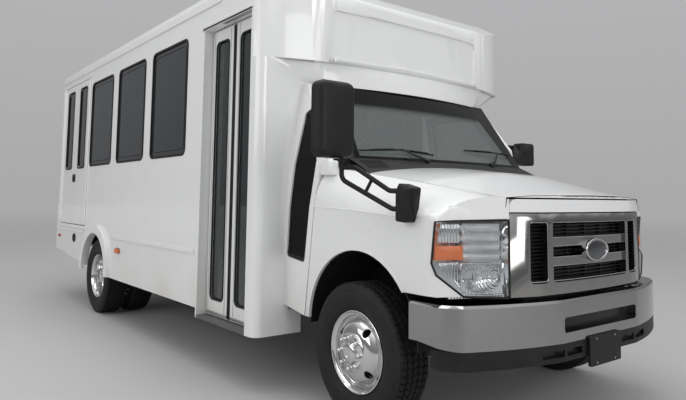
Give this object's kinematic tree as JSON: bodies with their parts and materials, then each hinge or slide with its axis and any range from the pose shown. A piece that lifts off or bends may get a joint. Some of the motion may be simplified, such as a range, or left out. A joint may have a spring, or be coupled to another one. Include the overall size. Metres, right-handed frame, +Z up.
{
  "type": "cutaway shuttle minibus",
  "caption": "White shuttle minibus: a van cab with a wide passenger body, a two-leaf entry door, a lift door at the rear side and twin rear wheels.",
  "frame": {"origin": "on the ground, under the middle of the vehicle's overall length and width", "axes": "+X forwards, +Y to the vehicle's left, +Z up"},
  "size_m": [6.645, 2.635, 2.79],
  "materials": {
    "body_white": "white gloss paint",
    "body_panel": "white gel-coated panel",
    "chrome": "polished chrome plate",
    "grille_grey": "bright plated trim",
    "lamp_clear": "clear lamp lens over a bright reflector",
    "lamp_amber": "amber and red lenses",
    "black_plastic": "black textured plastic",
    "rubber_black": "black rubber",
    "tyre": "black tyre rubber",
    "glass_dark": "dark tinted glass",
    "glass_clear": "lightly tinted glass",
    "wheel_steel": "silver wheel",
    "chassis_black": "black chassis paint",
    "cast": "cast metal",
    "aluminium": "plain aluminium",
    "floor_grey": "grey floor covering",
    "seat_fabric": "dark seat cloth",
    "rail_steel": "bright steel tube"
  },
  "bodies": {
    "chassis": {"frame_rails": "chassis_black", "driveline": "cast", "radiator": "aluminium", "front_axle": "cast", "rear_axle": "cast", "fuel_tank": "chassis_black", "exhaust": "aluminium", "cab_shell": "black_plastic", "fenders": "body_white", "wheel_liners": "black_plastic", "grille": "grille_grey", "headlamps": "lamp_clear", "front_bumper": "chrome", "bumper_valance": "black_plastic", "cab_glass": "glass_dark", "cab_panel_right": "body_white", "mirror_right": "black_plastic", "wall_right": "body_panel", "wall_left": "body_panel", "wall_rear": "body_panel", "roof": "body_panel", "front_cap": "body_panel", "floor": "floor_grey", "floor_sills": "chassis_black", "window_frames": "rubber_black", "window_glass": "glass_dark", "wheel_flares": "body_panel", "side_rails": "body_panel", "lamps": "lamp_amber", "rear_bumper": "black_plastic", "seats": "seat_fabric", "dashboard": "black_plastic", "stanchions": "rail_steel"},
    "hood": {"hood": "body_white"},
    "driver_door": {"driver_door": "body_white", "driver_door_glass": "glass_dark", "mirror_left": "black_plastic"},
    "entry_front": {"entry_leaf_front": "aluminium", "entry_glass_front": "glass_dark"},
    "entry_rear": {"entry_leaf_rear": "aluminium", "entry_glass_rear": "glass_dark"},
    "lift_front": {"lift_door_front": "body_panel", "lift_glass_front": "glass_dark"},
    "lift_rear": {"lift_door_rear": "body_panel", "lift_glass_rear": "glass_dark"},
    "rear_door": {"rear_door": "body_panel", "rear_door_glass": "glass_dark"},
    "steering_wheel": {"steering_wheel": "black_plastic"},
    "knuckle_left": {"knuckle_left": "cast"},
    "knuckle_right": {"knuckle_right": "cast"},
    "wheel_front_left": {"wheel_front_left": "wheel_steel", "tyre_front_left": "tyre"},
    "wheel_front_right": {"wheel_front_right": "wheel_steel", "tyre_front_right": "tyre"},
    "wheels_rear_left": {"wheels_rear_left": "wheel_steel", "tyres_rear_left": "tyre"},
    "wheels_rear_right": {"wheels_rear_right": "wheel_steel", "tyres_rear_right": "tyre"}
  },
  "joints": [
    {"name": "hood_hinge", "type": "hinge", "parent": "chassis", "child": "hood", "pos_m": [2.288, 0, 1.3683], "axis": [0, -1, 0], "range_deg": [0, 50]},
    {"name": "driver_door_hinge", "type": "hinge", "parent": "chassis", "child": "driver_door", "pos_m": [2.0357, 0.998, 1], "axis": [0, 0, -1], "range_deg": [0, 65]},
    {"name": "entry_front_swing", "type": "hinge", "parent": "chassis", "child": "entry_front", "pos_m": [1.586, -1.129, 1.396], "axis": [0, 0, 1], "range_deg": [0, 90]},
    {"name": "entry_rear_swing", "type": "hinge", "parent": "chassis", "child": "entry_rear", "pos_m": [0.944, -1.129, 1.396], "axis": [0, 0, -1], "range_deg": [0, 90]},
    {"name": "lift_front_hinge", "type": "hinge", "parent": "chassis", "child": "lift_front", "pos_m": [-1.998, -1.2263, 1.695], "axis": [0, 0, 1], "range_deg": [0, 100]},
    {"name": "lift_rear_hinge", "type": "hinge", "parent": "chassis", "child": "lift_rear", "pos_m": [-3.086, -1.2263, 1.695], "axis": [0, 0, -1], "range_deg": [0, 100]},
    {"name": "rear_door_hinge", "type": "hinge", "parent": "chassis", "child": "rear_door", "pos_m": [-3.2293, -0.43, 1.6], "axis": [0, 0, 1], "range_deg": [0, 100]},
    {"name": "steer_left", "type": "hinge", "parent": "chassis", "child": "knuckle_left", "pos_m": [2.438, 0.81, 0.372], "axis": [0, 0, 1], "range_deg": [-32, 32]},
    {"name": "steer_right", "type": "hinge", "parent": "chassis", "child": "knuckle_right", "pos_m": [2.438, -0.81, 0.372], "axis": [0, 0, 1], "range_deg": [-32, 32]},
    {"name": "steering_wheel_turn", "type": "hinge", "parent": "chassis", "child": "steering_wheel", "pos_m": [1.878, 0.46, 1.255], "axis": [-0.6222, 0, 0.7828], "range_deg": [-640, 640]},
    {"name": "front_left_spin", "type": "hinge", "parent": "knuckle_left", "child": "wheel_front_left", "pos_m": [2.438, 0.895, 0.372], "axis": [0, 1, 0], "continuous": true},
    {"name": "front_right_spin", "type": "hinge", "parent": "knuckle_right", "child": "wheel_front_right", "pos_m": [2.438, -0.895, 0.372], "axis": [0, 1, 0], "continuous": true},
    {"name": "rear_left_spin", "type": "hinge", "parent": "chassis", "child": "wheels_rear_left", "pos_m": [-1.575, 0.952, 0.372], "axis": [0, 1, 0], "continuous": true},
    {"name": "rear_right_spin", "type": "hinge", "parent": "chassis", "child": "wheels_rear_right", "pos_m": [-1.575, -0.952, 0.372], "axis": [0, 1, 0], "continuous": true}
  ],
  "couplings": [
    {"joint": "steer_right", "follows": "steer_left", "ratio": 1},
    {"joint": "steering_wheel_turn", "follows": "steer_left", "ratio": 20},
    {"joint": "entry_rear_swing", "follows": "entry_front_swing", "ratio": 1}
  ]
}
